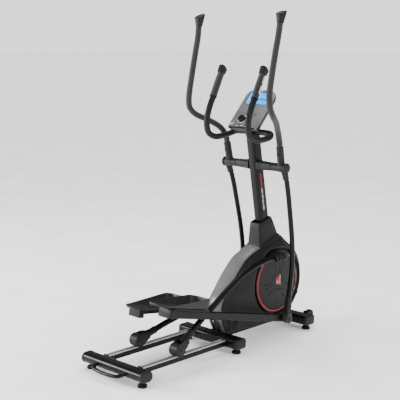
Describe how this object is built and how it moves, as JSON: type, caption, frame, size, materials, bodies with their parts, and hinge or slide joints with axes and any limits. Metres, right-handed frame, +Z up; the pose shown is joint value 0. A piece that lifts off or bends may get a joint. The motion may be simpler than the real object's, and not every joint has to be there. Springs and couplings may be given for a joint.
{
  "type": "elliptical trainer",
  "caption": "Front-crank elliptical trainer with curved links rolling on rails, pedals, swing arms, fixed handlebar and console.",
  "frame": {"origin": "floor level, under the middle of the overall box", "axes": "+Z up, +Y forward towards the console, +X to the right of the user standing on the pedals"},
  "size_m": [0.5452, 1.3636, 1.6656],
  "materials": {
    "black_steel": "satin powder coat",
    "charcoal_plastic": "fine moulded grain",
    "black_plastic": "smooth moulded",
    "grey_plastic": "satin silver grey",
    "grip_foam": "closed-cell foam skin",
    "rubber": "matt",
    "track_aluminium": "extruded, brushed along its length",
    "bright_steel": "zinc plated",
    "cast_iron": "machined and lacquered",
    "display": "back-lit blue display"
  },
  "bodies": {
    "frame": {"rear_stabilizer": "black_steel", "rear_foot_right": "rubber", "rear_foot_left": "rubber", "mid_stabilizer": "black_steel", "mid_foot_right": "rubber", "mid_foot_left": "rubber", "front_stabilizer": "black_steel", "front_foot_right": "rubber", "front_foot_left": "rubber", "rail_right": "black_steel", "rail_track_right": "track_aluminium", "side_cover_right": "charcoal_plastic", "axle_cover_right": "charcoal_plastic", "fixed_grip_right": "grip_foam", "rail_left": "black_steel", "rail_track_left": "track_aluminium", "side_cover_left": "charcoal_plastic", "axle_cover_left": "charcoal_plastic", "fixed_grip_left": "grip_foam", "rear_lift_handle": "black_steel", "main_frame": "black_steel", "rear_cover": "grey_plastic", "mast_collar": "charcoal_plastic", "mast": "black_steel", "swing_axle": "bright_steel", "fixed_handlebar": "black_steel", "console_case": "grey_plastic", "console_screen": "display", "console_bracket": "black_plastic", "drive_belt": "rubber"},
    "crank": {"crank_axle": "bright_steel", "crank_disc_right": "charcoal_plastic", "crank_disc_left": "charcoal_plastic", "drive_pulley": "black_plastic"},
    "flywheel": {"flywheel": "cast_iron"},
    "knob": {"console_knob": "black_plastic"},
    "button_1": {"console_button_1": "bright_steel"},
    "button_2": {"console_button_2": "bright_steel"},
    "button_3": {"console_button_3": "bright_steel"},
    "right_arm": {"arm_tube_right": "black_steel", "arm_hub_right": "charcoal_plastic", "arm_grip_right": "grip_foam", "arm_cap_right": "charcoal_plastic", "axle_cap_right": "charcoal_plastic"},
    "right_pedal_bar": {"pedal_bar_right": "black_steel", "pedal_right": "charcoal_plastic"},
    "right_link": {"link_right": "black_steel"},
    "right_roller": {"roller_right": "black_plastic"},
    "right_transport_wheel": {"transport_wheel_right": "rubber"},
    "left_arm": {"arm_tube_left": "black_steel", "arm_hub_left": "charcoal_plastic", "arm_grip_left": "grip_foam", "arm_cap_left": "charcoal_plastic", "axle_cap_left": "charcoal_plastic"},
    "left_pedal_bar": {"pedal_bar_left": "black_steel", "pedal_left": "charcoal_plastic"},
    "left_link": {"link_left": "black_steel"},
    "left_roller": {"roller_left": "black_plastic"},
    "left_transport_wheel": {"transport_wheel_left": "rubber"}
  },
  "joints": [
    {"name": "crank_spin", "type": "hinge", "parent": "frame", "child": "crank", "pos_m": [0, 0.446, 0.2735], "axis": [1, 0, 0], "continuous": true},
    {"name": "flywheel_spin", "type": "hinge", "parent": "frame", "child": "flywheel", "pos_m": [0, 0.214, 0.214], "axis": [1, 0, 0], "continuous": true},
    {"name": "right_arm_swing", "type": "hinge", "parent": "frame", "child": "right_arm", "pos_m": [0, 0.358, 0.893], "axis": [1, 0, 0], "range_deg": [-10.5, 10.5]},
    {"name": "left_arm_swing", "type": "hinge", "parent": "frame", "child": "left_arm", "pos_m": [0, 0.358, 0.893], "axis": [1, 0, 0], "range_deg": [-10.6, 10.6]},
    {"name": "right_pedal_pivot", "type": "hinge", "parent": "right_arm", "child": "right_pedal_bar", "pos_m": [0.176, 0.40151, 0.10135], "axis": [1, 0, 0], "range_deg": [-10.6, 10.6]},
    {"name": "right_link_glide", "type": "slide", "parent": "frame", "child": "right_link", "axis": [0, 1, 0], "range_m": [-0.1451, 0.1451]},
    {"name": "right_roller_spin", "type": "hinge", "parent": "right_link", "child": "right_roller", "pos_m": [0.121, -0.3247, 0.095], "axis": [1, 0, 0], "continuous": true},
    {"name": "right_transport_wheel_spin", "type": "hinge", "parent": "frame", "child": "right_transport_wheel", "pos_m": [0.138, 0.656, 0.062], "axis": [1, 0, 0], "continuous": true},
    {"name": "left_pedal_pivot", "type": "hinge", "parent": "left_arm", "child": "left_pedal_bar", "pos_m": [-0.176, 0.47034, 0.10815], "axis": [1, 0, 0], "range_deg": [-10.6, 10.6]},
    {"name": "left_link_glide", "type": "slide", "parent": "frame", "child": "left_link", "axis": [0, 1, 0], "range_m": [-0.1451, 0.1451]},
    {"name": "left_roller_spin", "type": "hinge", "parent": "left_link", "child": "left_roller", "pos_m": [-0.121, -0.3574, 0.095], "axis": [1, 0, 0], "continuous": true},
    {"name": "left_transport_wheel_spin", "type": "hinge", "parent": "frame", "child": "left_transport_wheel", "pos_m": [-0.138, 0.656, 0.062], "axis": [1, 0, 0], "continuous": true},
    {"name": "knob_turn", "type": "hinge", "parent": "frame", "child": "knob", "pos_m": [-0.026, 0.28458, 1.12896], "axis": [0, -0.7361, 0.6769], "continuous": true},
    {"name": "button_1_press", "type": "slide", "parent": "frame", "child": "button_1", "axis": [0, 0.7361, -0.6769], "range_m": [0, 0.002], "stiffness_N_per_m": 400},
    {"name": "button_2_press", "type": "slide", "parent": "frame", "child": "button_2", "axis": [0, 0.7361, -0.6769], "range_m": [0, 0.002], "stiffness_N_per_m": 400},
    {"name": "button_3_press", "type": "slide", "parent": "frame", "child": "button_3", "axis": [0, 0.7361, -0.6769], "range_m": [0, 0.002], "stiffness_N_per_m": 400}
  ],
  "couplings": [
    {"joint": "flywheel_spin", "follows": "crank_spin", "ratio": 7.1111},
    {"joint": "left_arm_swing", "follows": "right_arm_swing", "ratio": -1},
    {"joint": "right_pedal_pivot", "follows": "right_arm_swing", "ratio": -1},
    {"joint": "left_pedal_pivot", "follows": "right_arm_swing", "ratio": 1},
    {"joint": "right_link_glide", "follows": "right_arm_swing", "m_per_rad": 0.789},
    {"joint": "left_link_glide", "follows": "right_arm_swing", "m_per_rad": -0.789}
  ]
}
